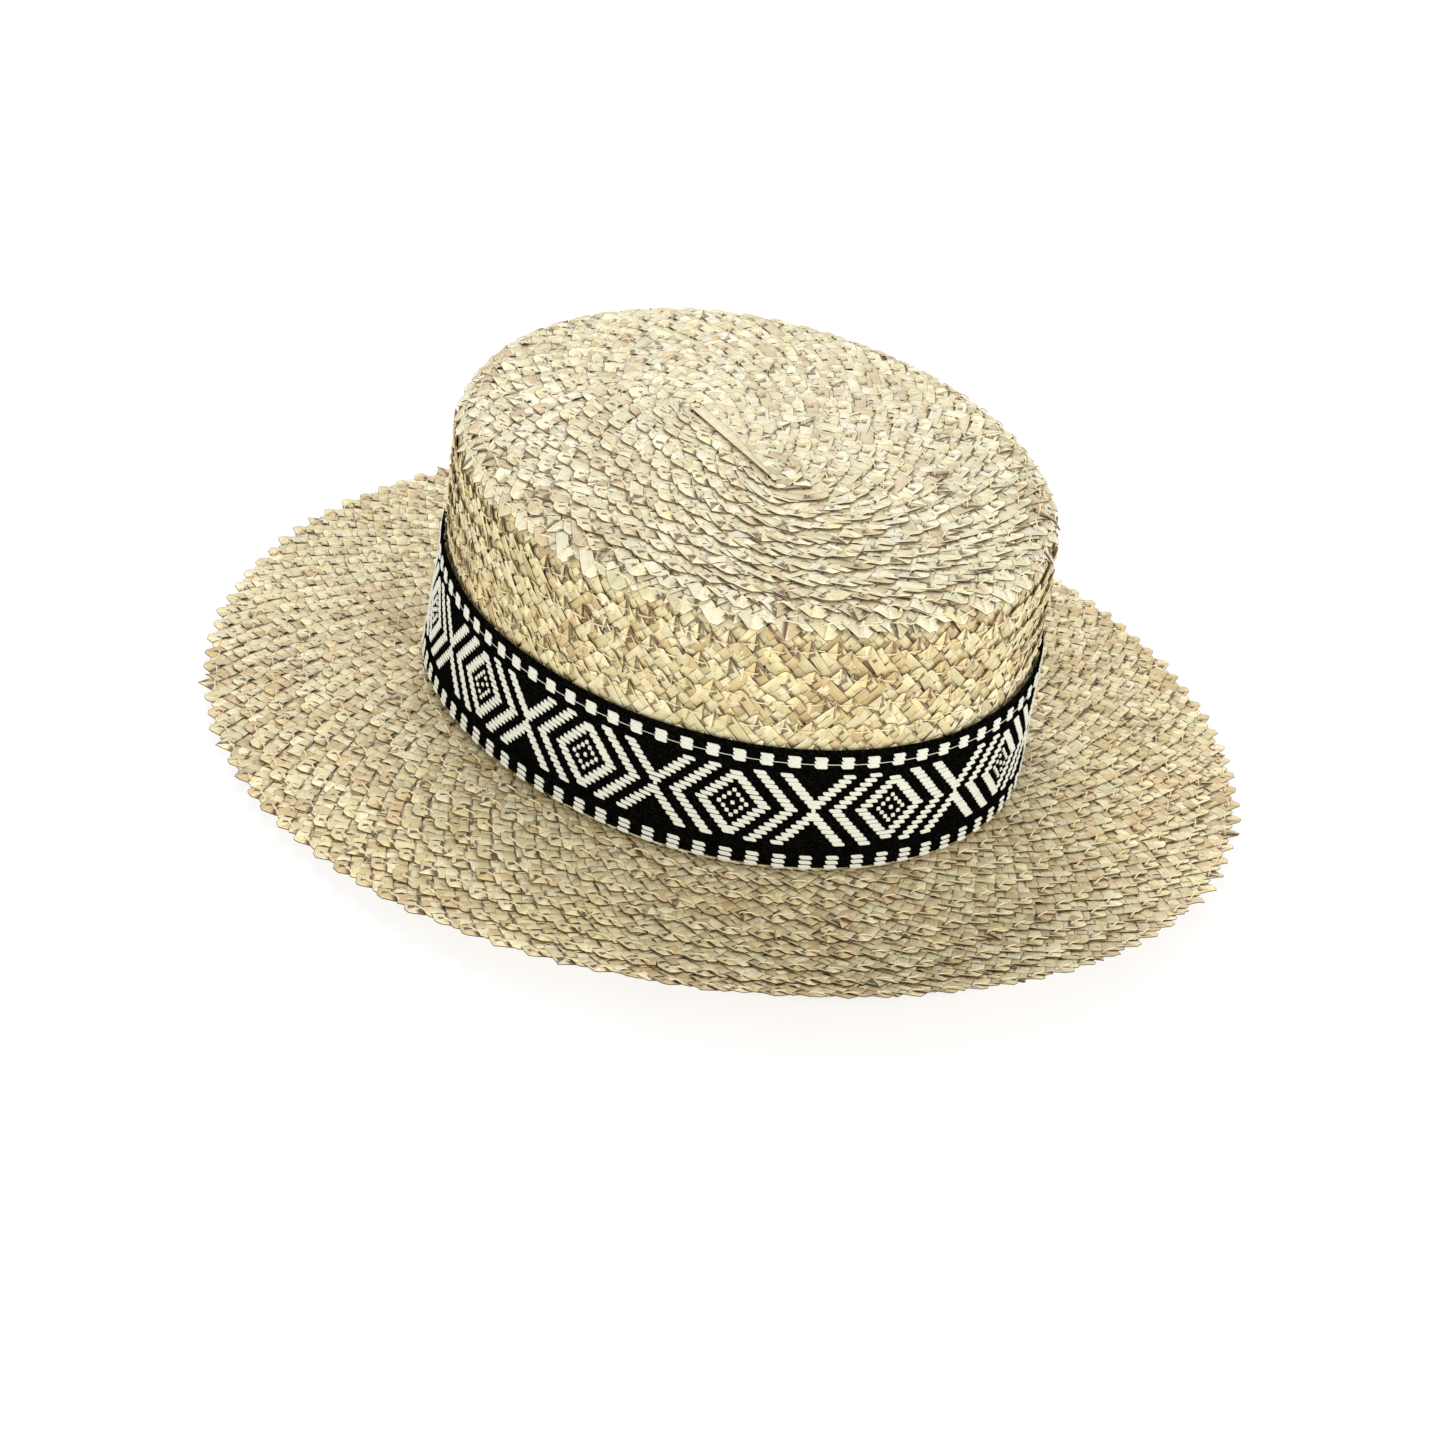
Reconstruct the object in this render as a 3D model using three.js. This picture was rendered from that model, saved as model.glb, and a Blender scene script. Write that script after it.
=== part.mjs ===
// A straw boater hat: an oval crown of overlapping plait rows, a flat brim of the same plait and a woven ribbon.
// Millimetres, +Z up. The hat's length lies along Y with its front at -Y, and the brim rests on z = 0.

import * as THREE from 'three';

// The head opening, measured on the outer face of the crown's wall at the brim.
const HEAD_HALF_WIDTH = 86.6;
const HEAD_HALF_LENGTH = 101.4;

// The crown: a wall that leans in slightly, a rounded shoulder, and a flat tip that isn't quite level.
const WALL_TOP = 75.4;
const SHOULDER_RADIUS = 9.1;
const TIP_HALF_WIDTH = 83.8;
const TIP_HALF_LENGTH = 100.9;
const TIP_SHIFT_X = -0.4;
const TIP_SHIFT_Y = 1.5;
const TIP_SLOPE_X = 0.066;
const TIP_SLOPE_Y = 0.042;

// The brim: wider at the sides than at the ends, level near the crown and lifting towards its rim.
const BRIM_WIDTH = 68.3;
const BRIM_EXTRA_AT_SIDES = 3.2;
const LIFT_FRONT = 9.8;
const LIFT_BACK = 4.4;
const LIFT_FACING = 256;
const LEVEL_SHARE = 0.26;

// The plait: each row is stitched over the next one, and its free edge stands proud by STEP.
const STRAW = 1.8;
const STEP = 0.9;
const TIP_ROWS = 10;
const WALL_ROWS = 9;
const BRIM_ROWS = 8;
const TIP_EDGE_TURN = 46;
const TUCK_TURN = 68;
const SEAM_GAP = 0.3;

// The first row of the tip runs along a slit, beside the middle, and shows its whole width on one side.
const SLIT_X = -7;
const SLIT_HALF_LENGTH = 26;
const SLIT_HALF_GAP = 0.4;
const SLIT_DEPTH = 0.5;
const START_ROW_WIDTH = 14.2;
const START_ROW_OVERHANG = 7.2;

// The ribbon: one strip round the foot of the crown, whose end laps over its start at the back.
const RIBBON_HEIGHT = 42.6;
const RIBBON_THICK = 1.0;
const RIBBON_LIFT = 0.4;
const RIBBON_LAP_AT = 78;
const RIBBON_LAP_DEGREES = 11;
const RIBBON_RISE_DEGREES = 16;
const RIBBON_BULGE = 3.0;
const RIBBON_BULGE_AT = 150;
const RIBBON_BULGE_DEGREES = 34;

const SEGMENTS = 64;
const RIBBON_COLUMNS = 68;

const mix = THREE.MathUtils.lerp;
const smooth = THREE.MathUtils.smoothstep;
const radians = THREE.MathUtils.degToRad;

// A point of the crown's outer skin: the wall up to WALL_TOP, then the shoulder's quarter turn.
function crownPoint(angle, along, outset) {
  const share = Math.min(along / WALL_TOP, 1);
  const turn = Math.max(along - WALL_TOP, 0) / SHOULDER_RADIUS;
  const drawnIn = (1 - Math.cos(turn)) * SHOULDER_RADIUS;
  const reach = outset * Math.cos(turn) - drawnIn;
  const x = (mix(HEAD_HALF_WIDTH, TIP_HALF_WIDTH, share) + reach) * Math.cos(angle);
  const y = (mix(HEAD_HALF_LENGTH, TIP_HALF_LENGTH, share) + reach) * Math.sin(angle);
  const height = Math.min(along, WALL_TOP) + (SHOULDER_RADIUS + outset) * Math.sin(turn);
  const lean = share * (TIP_SLOPE_X * x + TIP_SLOPE_Y * y);
  return new THREE.Vector3(x + share * TIP_SHIFT_X, y + share * TIP_SHIFT_Y, height + lean);
}

// The distance along the crown's skin at which the shoulder has turned by so many degrees.
function alongAtTurn(degrees) {
  return WALL_TOP + SHOULDER_RADIUS * radians(degrees);
}

// A point of the flat tip. Ring 0 is the slit, ring 1 is the edge of the start row, and the last is the shoulder.
function tipPoint(angle, ring, rise) {
  const cosine = Math.cos(angle);
  const sine = Math.sin(angle);
  const startHalf = (START_ROW_WIDTH + START_ROW_OVERHANG) / 2;
  const startX = SLIT_X + (START_ROW_WIDTH - START_ROW_OVERHANG) / 2;
  let middle = SLIT_X;
  let halfWidth = SLIT_HALF_GAP;
  let halfLength = SLIT_HALF_LENGTH;
  let squareness = 0.5;
  if (ring > 0) {
    const share = (ring - 1) / (TIP_ROWS - 2);
    middle = mix(startX, 0, share);
    halfWidth = mix(startHalf, TIP_HALF_WIDTH - SHOULDER_RADIUS, share);
    halfLength = mix(SLIT_HALF_LENGTH + START_ROW_OVERHANG, TIP_HALF_LENGTH - SHOULDER_RADIUS, share);
    squareness = mix(0.6, 1, share);
  }
  const x = middle + halfWidth * Math.sign(cosine) * Math.abs(cosine) ** squareness;
  const y = halfLength * sine;
  const lean = TIP_SLOPE_X * x + TIP_SLOPE_Y * y;
  return new THREE.Vector3(x + TIP_SHIFT_X, y + TIP_SHIFT_Y, WALL_TOP + SHOULDER_RADIUS + rise + lean);
}

// How far the rim is lifted at an angle: most at the front, less at the back, and not at the sides.
function rimLift(angle) {
  const facing = angle - radians(LIFT_FACING);
  const tilt = (LIFT_FRONT - LIFT_BACK) / 2;
  const fold = 3.4;
  const level = LIFT_FRONT - tilt - fold;
  return level + tilt * Math.cos(facing) + fold * Math.cos(2 * facing);
}

// A point of the brim, a share of the way from the crown to the rim, measured square to the head oval.
function brimPoint(angle, share, height) {
  const normal = new THREE.Vector2(Math.cos(angle) / HEAD_HALF_WIDTH, Math.sin(angle) / HEAD_HALF_LENGTH);
  normal.normalize();
  const width = BRIM_WIDTH + BRIM_EXTRA_AT_SIDES * Math.cos(2 * angle);
  const out = SEAM_GAP + share * (width - SEAM_GAP);
  const lifted = Math.max(share - LEVEL_SHARE, 0) / (1 - LEVEL_SHARE);
  return new THREE.Vector3(
    HEAD_HALF_WIDTH * Math.cos(angle) + out * normal.x,
    HEAD_HALF_LENGTH * Math.sin(angle) + out * normal.y,
    height + rimLift(angle) * lifted * lifted,
  );
}

// One closed ring of points, from a function of the angle.
function ring(pointAt) {
  return Array.from({ length: SEGMENTS }, (_, index) => pointAt((index / SEGMENTS) * 2 * Math.PI));
}

// Joins rings, each with SEGMENTS points, by quads split in two, and returns the triangles' corner numbers.
function ringQuads(ringCount, wraps) {
  const corners = [];
  const bands = wraps ? ringCount : ringCount - 1;
  for (let band = 0; band < bands; band += 1) {
    const here = band * SEGMENTS;
    const there = ((band + 1) % ringCount) * SEGMENTS;
    for (let index = 0; index < SEGMENTS; index += 1) {
      const next = (index + 1) % SEGMENTS;
      corners.push(here + index, here + next, there + next);
      corners.push(here + index, there + next, there + index);
    }
  }
  return corners;
}

// Fills one ring with strips between its mirrored points.
function ringCap(first, facesUp) {
  const corners = [];
  const quarter = SEGMENTS / 4;
  for (let step = 0; step < SEGMENTS / 2; step += 1) {
    const right = (index) => first + ((index - quarter + SEGMENTS) % SEGMENTS);
    const left = (index) => first + ((3 * quarter - index + SEGMENTS) % SEGMENTS);
    const [a, b, c, d] = [right(step), right(step + 1), left(step + 1), left(step)];
    if (step > 0) corners.push(...(facesUp ? [a, b, d] : [a, d, b]));
    if (step < SEGMENTS / 2 - 1) corners.push(...(facesUp ? [b, c, d] : [b, d, c]));
  }
  return corners;
}

function solid(points, corners) {
  const geometry = new THREE.BufferGeometry();
  geometry.setAttribute('position', new THREE.Float32BufferAttribute(points.flatMap((p) => p.toArray()), 3));
  geometry.setIndex(corners);
  geometry.computeVertexNormals();
  return geometry;
}

// The tip: rows that each stand a step above the next one out, the last of them bent over the shoulder.
function crownTip() {
  const edge = alongAtTurn(TIP_EDGE_TURN);
  const crest = alongAtTurn(90);
  const rings = [ring((angle) => tipPoint(angle, 0, -SLIT_DEPTH))];
  for (let row = 1; row < TIP_ROWS; row += 1) {
    rings.push(ring((angle) => tipPoint(angle, row, STEP)));
    rings.push(ring((angle) => tipPoint(angle, row, 0)));
  }
  rings.push(ring((angle) => crownPoint(angle, mix(crest, edge, 0.5), STEP / 2)));
  rings.push(ring((angle) => crownPoint(angle, edge, STEP)));
  rings.push(ring((angle) => crownPoint(angle, edge, -STRAW)));
  rings.push(ring((angle) => crownPoint(angle, mix(crest, edge, 0.5), -STRAW)));
  rings.push(ring((angle) => tipPoint(angle, TIP_ROWS - 1, -STRAW)));
  const quads = ringQuads(rings.length, false);
  const top = ringCap(0, true);
  const under = ringCap((rings.length - 1) * SEGMENTS, false);
  return solid(rings.flat(), [...outward(quads), ...top, ...under]);
}

// Rings run from the middle outwards over the top, so their quads are turned to face out.
function outward(corners) {
  const turned = [];
  for (let index = 0; index < corners.length; index += 3) {
    turned.push(corners[index], corners[index + 2], corners[index + 1]);
  }
  return turned;
}

// The side of the crown: each row's upper edge stands proud of the row above, and the top tucks under the tip.
function crownSide() {
  const edge = alongAtTurn(TIP_EDGE_TURN);
  const tuck = alongAtTurn(TUCK_TURN);
  const tucked = -STRAW - SEAM_GAP;
  const pitch = edge / WALL_ROWS;
  const rings = [ring((angle) => crownPoint(angle, 0, 0))];
  for (let row = 1; row < WALL_ROWS; row += 1) {
    rings.push(ring((angle) => crownPoint(angle, row * pitch, STEP)));
    rings.push(ring((angle) => crownPoint(angle, row * pitch, 0)));
  }
  rings.push(ring((angle) => crownPoint(angle, mix(WALL_TOP, edge, 0.4), -STRAW / 4)));
  rings.push(ring((angle) => crownPoint(angle, edge, tucked)));
  rings.push(ring((angle) => crownPoint(angle, tuck, tucked)));
  rings.push(ring((angle) => crownPoint(angle, tuck, tucked - STRAW)));
  rings.push(ring((angle) => crownPoint(angle, edge, tucked - STRAW)));
  rings.push(ring((angle) => crownPoint(angle, WALL_TOP, -STRAW)));
  rings.push(ring((angle) => crownPoint(angle, 0, -STRAW)));
  return solid(rings.flat(), ringQuads(rings.length, true));
}

// The brim: each row's outer edge lies on the next row out, under one smooth face that rests near the crown.
function brim() {
  const rings = [ring((angle) => brimPoint(angle, 0, STRAW))];
  for (let row = 1; row < BRIM_ROWS; row += 1) {
    rings.push(ring((angle) => brimPoint(angle, row / BRIM_ROWS, STRAW + STEP)));
    rings.push(ring((angle) => brimPoint(angle, row / BRIM_ROWS, STRAW)));
  }
  rings.push(ring((angle) => brimPoint(angle, 1, STRAW + STEP)));
  for (const share of [1, 0.82, 0.64, 0.46, LEVEL_SHARE, 0]) {
    rings.push(ring((angle) => brimPoint(angle, share, 0)));
  }
  return solid(rings.flat(), outward(ringQuads(rings.length, true)));
}

// How far the ribbon's inner face stands off the wall at an angle, counted on past a whole turn at the lap.
function ribbonOutset(angle, share) {
  const start = radians(RIBBON_LAP_AT);
  const lapped = smooth(angle, start + 2 * Math.PI - radians(RIBBON_RISE_DEGREES), start + 2 * Math.PI);
  const across = (angle - radians(RIBBON_BULGE_AT)) / radians(RIBBON_BULGE_DEGREES);
  const bulge = RIBBON_BULGE * Math.exp(-across * across) * (1 - share) ** 1.5;
  return STEP + SEAM_GAP + lapped * (RIBBON_THICK + SEAM_GAP) + bulge;
}

// The ribbon: a strip with eight corners in its section, carried once round the crown and a little further.
function ribbon() {
  const foot = STRAW + STEP + RIBBON_LIFT;
  const heights = [0, 0.33, 0.67, 1];
  const points = [];
  for (let column = 0; column <= RIBBON_COLUMNS; column += 1) {
    const turn = 360 + RIBBON_LAP_DEGREES;
    const angle = radians(RIBBON_LAP_AT + (column / RIBBON_COLUMNS) * turn);
    const face = (share, thick) =>
      crownPoint(angle, foot + share * RIBBON_HEIGHT, ribbonOutset(angle, share) + thick);
    points.push(...heights.map((share) => face(share, RIBBON_THICK)));
    points.push(...heights.toReversed().map((share) => face(share, 0)));
  }
  const size = 2 * heights.length;
  const corners = [];
  for (let column = 0; column < RIBBON_COLUMNS; column += 1) {
    for (let index = 0; index < size; index += 1) {
      const [a, b] = [column * size + index, column * size + ((index + 1) % size)];
      corners.push(a, a + size, b + size, a, b + size, b);
    }
  }
  const last = RIBBON_COLUMNS * size;
  for (let index = 0; index < heights.length - 1; index += 1) {
    const [a, b, c, d] = [index, index + 1, size - 2 - index, size - 1 - index];
    corners.push(a, b, c, a, c, d);
    corners.push(last + a, last + c, last + b, last + a, last + d, last + c);
  }
  return solid(points, corners);
}

const paleStraw = new THREE.MeshStandardMaterial({ color: '#dccfa6', roughness: 0.7, metalness: 0 });
const goldenStraw = new THREE.MeshStandardMaterial({ color: '#d3bd8b', roughness: 0.7, metalness: 0 });
const greyStraw = new THREE.MeshStandardMaterial({ color: '#c5b38d', roughness: 0.75, metalness: 0 });
const blackRibbon = new THREE.MeshStandardMaterial({ color: '#14140f', roughness: 0.85, metalness: 0 });

function piece(name, geometry, material) {
  const mesh = new THREE.Mesh(geometry, material);
  mesh.name = name;
  return mesh;
}

const hat = new THREE.Group();
hat.add(piece('crown_tip', crownTip(), paleStraw));
hat.add(piece('crown_side', crownSide(), goldenStraw));
hat.add(piece('brim', brim(), greyStraw));
hat.add(piece('hat_band', ribbon(), blackRibbon));

export default hat;
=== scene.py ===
"""A straw boater hat, laid out as an add-on: plaited tip, side and brim, a woven band, and a pale stage.

Sizes are metres, +Z up. The hat's length lies along Y with its front at -Y, and the brim rests on z = 0.
"""

import math

import bpy
import numpy as np
from bpy.props import FloatProperty, FloatVectorProperty, PointerProperty
from mathutils import Matrix, Vector


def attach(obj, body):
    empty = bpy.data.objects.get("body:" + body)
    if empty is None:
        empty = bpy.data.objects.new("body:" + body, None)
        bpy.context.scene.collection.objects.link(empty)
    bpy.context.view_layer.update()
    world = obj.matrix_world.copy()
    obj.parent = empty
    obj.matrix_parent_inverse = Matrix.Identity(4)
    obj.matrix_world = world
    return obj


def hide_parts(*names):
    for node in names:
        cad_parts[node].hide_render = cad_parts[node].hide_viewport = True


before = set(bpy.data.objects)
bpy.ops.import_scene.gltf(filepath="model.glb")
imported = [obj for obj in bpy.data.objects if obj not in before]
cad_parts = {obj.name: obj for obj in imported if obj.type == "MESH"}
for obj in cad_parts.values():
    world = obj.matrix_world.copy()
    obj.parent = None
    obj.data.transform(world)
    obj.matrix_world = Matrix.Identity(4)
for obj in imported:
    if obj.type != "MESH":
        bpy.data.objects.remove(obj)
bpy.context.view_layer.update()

bl_info = {
    "name": "Straw boater hat",
    "version": (1, 0, 0),
    "blender": (4, 5, 0),
    "location": "View3D > Sidebar > Hat",
    "description": "Builds a straw boater from plaited rows, with a woven band and a pale stage",
    "category": "Object",
}

# The hat's skin, close to the one that its solids have.
HEAD_HALF_WIDTH = 0.0866
HEAD_HALF_LENGTH = 0.1014
WALL_TOP = 0.0754
SHOULDER_RADIUS = 0.0091
TIP_HALF_WIDTH = 0.0838
TIP_HALF_LENGTH = 0.1009
TIP_SHIFT_X = -0.0004
TIP_SHIFT_Y = 0.0015
TIP_SLOPE_X = 0.066
TIP_SLOPE_Y = 0.042
BRIM_WIDTH = 0.0683
BRIM_EXTRA_AT_SIDES = 0.0032
LIFT_FRONT = 0.0098
LIFT_BACK = 0.0044
LIFT_SIDE = 0.0003
LIFT_FACING = math.radians(251)
LEVEL_SHARE = 0.26
STRAW = 0.0018
SEAM_GAP = 0.0003

# The plait of the wall and of the brim stops so far from the corner where they meet, and the brim's plait is
# let down into its solid until its lowest folds touch the floor.
CORNER_ROOM = 0.0012
BRIM_SINK = 0.00053

# The rows of plait, counted from the slit outwards, from the brim upwards and from the crown outwards. The
# last two rows of the tip lie on the shoulder, and the last row of the wall is hidden under them.
FLAT_TIP_ROWS = 9
SHOULDER_ROW_TURNS = (math.radians(55), math.radians(24))
TIP_ROWS = FLAT_TIP_ROWS + len(SHOULDER_ROW_TURNS)
TIP_ROW_PITCH = 0.0072
SHOULDER_ROW_PITCH = 0.0052
WALL_ROWS = 10
WALL_ROW_PITCH = 0.0082
WALL_LAST_EDGE = 0.0865
BRIM_ROWS = 8
BRIM_ROW_PITCH = 0.0085
SLIT_X = -0.0085
SLIT_HALF_LENGTH = 0.0235
SLIT_HALF_GAP = 0.00015
SLIT_STRAW_ENDS = (-0.85, 0.95)
SLIT_STRAW_WIDTHS = (0.0013, 0.0040)
START_ROW_WIDTH = 0.0142
START_ROW_OVERHANG = 0.0072

# The plait: five strands that fold back at both edges. Each leg of a strand, from one fold to the next, has
# seven sections: at the fold, just past it, at its four crossings, and before the next fold.
STRANDS = 5
ROW_START_TURN = 2.4
CROSSING_PLACES = (0.2, 0.4, 0.6, 0.8)
SECTIONS = 7
AT_FOLD = 0
PAST_FOLD = 1
CROSSINGS = slice(2, 6)
LAST_CROSSING = 5
BEFORE_FOLD = 6

# A leg may start a new straw, which is so wide for the pitch of the folds. A blunt tooth reaches less far than
# a sharp one and is cut back further. A raised tooth sticks out, a small one lies low, a large one tilts.
NEW_STRAW_CHANCE = 0.3
STRAW_WIDTH = 0.81
FOLD_CUT = 0.0003
BLUNT_REACH = (0.5, 0.76)
BLUNT_CUT = (0.8, 1.15)
RAISED_REACH = (0.0005, 0.0018)
RAISED_LIFT = 0.0005
HIGHEST_LIFT = 0.0013
SMALL_TOOTH_SINK = 0.0003
LARGE_TOOTH_TILT = 0.0004

# The tip's last edge stands off the wall, and the sewing thread lies on the plait.
LAST_TIP_EDGE_LIFT = 0.0004
SEAM_HEIGHT = 0.00042

# The band: one strip round the foot of the crown, whose end laps over its start at the back.
BAND_HEIGHT = 0.0407
BAND_FOOT = 0.0041
BAND_OFF_WALL = 0.0012
BAND_LAP_AT = math.radians(78)
BAND_LAP_TURN = math.radians(11)
BAND_RISE_TURN = math.radians(16)
BAND_LAP_LIFT = 0.0013
BAND_INNER_GAP = 0.0001
BAND_EDGE_ROUND = 0.0004
BAND_EDGE_RIPPLE = 0.0003
BAND_SWELL = 0.00012
SPECK_WIDTH = 0.00063
SPECK_HEIGHT = 0.00073
BAND_BULGE = 0.003
BAND_BULGE_AT = math.radians(150)
BAND_BULGE_TURN = math.radians(34)

# The band's figure: a diamond and a cross in turn, charted in columns and rows of the weave. Its rings are
# counted from the middle of a diamond. A row of small blocks runs above the figure, and one below it.
COLUMNS_PER_REPEAT = 36
FIGURE_ROWS = 8
OUTER_RINGS = (12, 13, 14, 18, 19, 20)
INNER_RINGS = (6, 7, 8)
SPECK_RINGS = (0, 3)
BLOCK_COLUMNS = 6
UPPER_BLOCK_ROWS = (10.3, 11.15, 12.0)
LOWER_BLOCK_ROWS = (-11.3, -12.45, -13.6)
UPPER_BLOCK_SAG = 0.00035
FLOAT_ROW = 10.8
FLOAT_FATNESS = 0.16
DIAMOND_ARC = 0.3963
FIGURE_MIDDLE = 0.0203

# The photograph's camera, and the light round the hat. Each soft light has a name, a place, the length of its
# side, its power in watts and its colour.
CAMERA_PLACE = (-0.31114, -0.43878, 0.31203)
CAMERA_FORWARD = (0.496442, 0.698253, -0.51574)
CAMERA_UP = (0.177469, 0.499935, 0.847685)
CAMERA_LENS = 49.118
LIGHT_AIM = (0.0, 0.0, 0.05)
SOFT_LIGHTS = (
    ("key", (0.45, 1.1, 1.2), 0.7, 12.0, (1.0, 0.99, 0.98)),
    ("fill", (-1.45, -0.9, 0.4), 1.0, 15.0, (1.0, 0.985, 0.94)),
    ("side", (1.1, -1.3, 0.5), 1.0, 14.0, (1.0, 0.985, 0.94)),
)
WORLD_STRENGTH = 0.74
# The floor's glow is painted light, which fades out under the hat into a painted shadow.
FLOOR_PAINTED_GLOW = 0.79
FLOOR_CORNERS = ((-4, -4, 0), (4, -4, 0), (4, 6, 0), (-4, 6, 0))

FULL_TURN = 2 * math.pi
SHARP_TURN = math.radians(38)

# What the lengths and the colours in the property groups have in common.
LENGTH = {"unit": "LENGTH", "precision": 5}
COLOUR = {"size": 3, "min": 0.0, "max": 1.0, "subtype": "COLOR"}


class HatPlait(bpy.types.PropertyGroup):
    """Sizes of the straw plait."""

    tooth_pitch: FloatProperty(
        name="Tooth pitch", description="Distance between two folds on one edge of the side's plait",
        default=0.0036, min=0.002, max=0.02, **LENGTH,
    )
    brim_tooth_pitch: FloatProperty(
        name="Brim tooth pitch", description="Distance between two folds on one edge of the brim's plait",
        default=0.0042, min=0.002, max=0.02, **LENGTH,
    )
    tip_tooth_pitch: FloatProperty(
        name="Tip tooth pitch", description="Distance between two folds on one edge of the tip's plait",
        default=0.0047, min=0.002, max=0.02, **LENGTH,
    )
    fold_span: FloatProperty(
        name="Fold span", description="Width of the side's plait between the middles of its folds",
        default=0.0126, min=0.004, max=0.03, **LENGTH,
    )
    brim_fold_span: FloatProperty(
        name="Brim fold span", description="Width of the brim's plait between the middles of its folds",
        default=0.0118, min=0.004, max=0.03, **LENGTH,
    )
    tip_fold_span: FloatProperty(
        name="Tip fold span", description="Width of the tip's plait between the middles of its folds",
        default=0.0104, min=0.004, max=0.03, **LENGTH,
    )
    splint_thickness: FloatProperty(
        name="Splint thickness", description="Thickness of one flat straw",
        default=0.00025, min=0.0001, max=0.001, **LENGTH,
    )
    tooth_reach: FloatProperty(
        name="Tooth reach", description="How far a fold's tip stands past the middle of the fold",
        default=0.0022, min=0.0005, max=0.006, **LENGTH,
    )
    flat_tooth_reach: FloatProperty(
        name="Flat tooth reach", description="The same for the flat rows of the tip and the brim",
        default=0.0014, min=0.0005, max=0.006, **LENGTH,
    )
    tooth_lift: FloatProperty(
        name="Tooth lift", description="How far a large tooth's tip stands off the side, on average",
        default=0.00030, min=0.0, max=0.002, **LENGTH,
    )
    flat_tooth_lift: FloatProperty(
        name="Flat tooth lift", description="The same for the flat rows of the tip and the brim",
        default=0.00012, min=0.0, max=0.002, **LENGTH,
    )
    small_tooth_drop: FloatProperty(
        name="Small tooth drop", description="How much lower a small tooth's fold lies than a large one's",
        default=0.0019, min=0.0, max=0.004, **LENGTH,
    )
    raised_share: FloatProperty(
        name="Raised teeth", description="Share of the teeth whose straw end sticks out",
        default=0.13, min=0.0, max=1.0,
    )
    unevenness: FloatProperty(
        name="Unevenness", description="How far folds lie from their even places",
        default=0.00030, min=0.0, max=0.002, **LENGTH,
    )
    weave_height: FloatProperty(
        name="Weave height", description="Rise and fall of a straw where it crosses the others",
        default=0.00022, min=0.0001, max=0.001, **LENGTH,
    )
    edge_height: FloatProperty(
        name="Edge height", description="Height of a row's free edge above the skin",
        default=0.00030, min=0.0, max=0.002, **LENGTH,
    )
    row_drop: FloatProperty(
        name="Row drop", description="How much deeper a row lies than the one that laps over it",
        default=0.00058, min=0.0, max=0.003, **LENGTH,
    )
    seam_depth: FloatProperty(
        name="Seam depth", description="Distance of the sewing thread from a row's free edge",
        default=0.0033, min=0.001, max=0.01, **LENGTH,
    )
    thread_radius: FloatProperty(
        name="Thread radius", description="Half the thickness of the sewing thread",
        default=0.00022, min=0.00005, max=0.001, **LENGTH,
    )


class HatBand(bpy.types.PropertyGroup):
    """Sizes of the woven band."""

    thickness: FloatProperty(
        name="Thickness", description="Thickness of the cloth",
        default=0.0007, min=0.0003, max=0.0015, **LENGTH,
    )
    repeat: FloatProperty(
        name="Repeat", description="Length of band that holds one diamond and one cross",
        default=0.04404, min=0.02, max=0.1, **LENGTH,
    )
    row_pitch: FloatProperty(
        name="Row pitch", description="Height of one row of the figure",
        default=0.00146, min=0.0005, max=0.004, **LENGTH,
    )
    bar_proud: FloatProperty(
        name="Bar height", description="How far the pale bars stand out of the cloth",
        default=0.00042, min=0.0001, max=0.001, **LENGTH,
    )


class HatColours(bpy.types.PropertyGroup):
    """Colours of straw, cloth, thread and floor."""

    cream: FloatVectorProperty(
        name="Cream straw", description="Colour of the palest straws",
        default=(0.90, 0.83, 0.58), **COLOUR,
    )
    golden: FloatVectorProperty(
        name="Golden straw", description="Colour of the commonest straws",
        default=(0.83, 0.72, 0.42), **COLOUR,
    )
    tan: FloatVectorProperty(
        name="Tan straw", description="Colour of the darker straws",
        default=(0.66, 0.52, 0.28), **COLOUR,
    )
    rosy: FloatVectorProperty(
        name="Rosy straw", description="Colour of the pinkish brown straws",
        default=(0.74, 0.60, 0.37), **COLOUR,
    )
    green: FloatVectorProperty(
        name="Green straw", description="Colour of the unripe straws",
        default=(0.78, 0.74, 0.46), **COLOUR,
    )
    cloth: FloatVectorProperty(
        name="Band cloth", description="Colour of the band's ground",
        default=(0.0016, 0.0016, 0.0014), **COLOUR,
    )
    figure: FloatVectorProperty(
        name="Band figure", description="Colour of the band's raised bars",
        default=(0.81, 0.81, 0.70), **COLOUR,
    )
    seam: FloatVectorProperty(
        name="Seam thread", description="Colour of the thread that joins the rows",
        default=(0.92, 0.80, 0.52), **COLOUR,
    )
    floor: FloatVectorProperty(
        name="Floor", description="Colour of the floor",
        default=(0.22, 0.21, 0.20), **COLOUR,
    )


def mix(start, end, share):
    return start + (end - start) * share


def smooth(low, high, value):
    share = np.clip((value - low) / (high - low), 0.0, 1.0)
    return share * share * (3.0 - 2.0 * share)


def stack(*parts):
    return np.stack(np.broadcast_arrays(*parts), axis=-1)


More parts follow.
